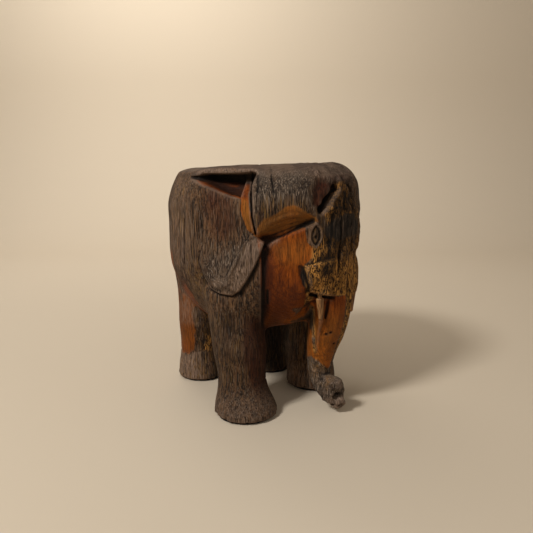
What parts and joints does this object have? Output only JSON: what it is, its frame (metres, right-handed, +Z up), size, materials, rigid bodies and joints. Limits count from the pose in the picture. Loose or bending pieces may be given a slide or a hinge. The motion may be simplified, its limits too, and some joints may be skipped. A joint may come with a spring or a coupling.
{
  "type": "carved elephant stool",
  "caption": "Low stool carved from one upright log as a walking elephant; its flat oval back is the seat, with short tusk pegs and dark pads under the feet.",
  "frame": {"origin": "on the floor under the middle of the log", "axes": "+X the way the elephant faces, +Y its left, +Z up"},
  "size_m": [0.39, 0.32, 0.42],
  "materials": {
    "weathered_hardwood": "weathered dark hardwood, hand-carved, unvarnished",
    "tusk_wood": "pale worn wood",
    "black_pad": "matt black"
  },
  "bodies": {
    "root": {"carved_log": "weathered_hardwood", "tusk_right": "tusk_wood", "tusk_left": "tusk_wood", "foot_pad_front_right": "black_pad", "foot_pad_front_left": "black_pad", "foot_pad_rear_right": "black_pad", "foot_pad_rear_left": "black_pad"}
  },
  "joints": []
}
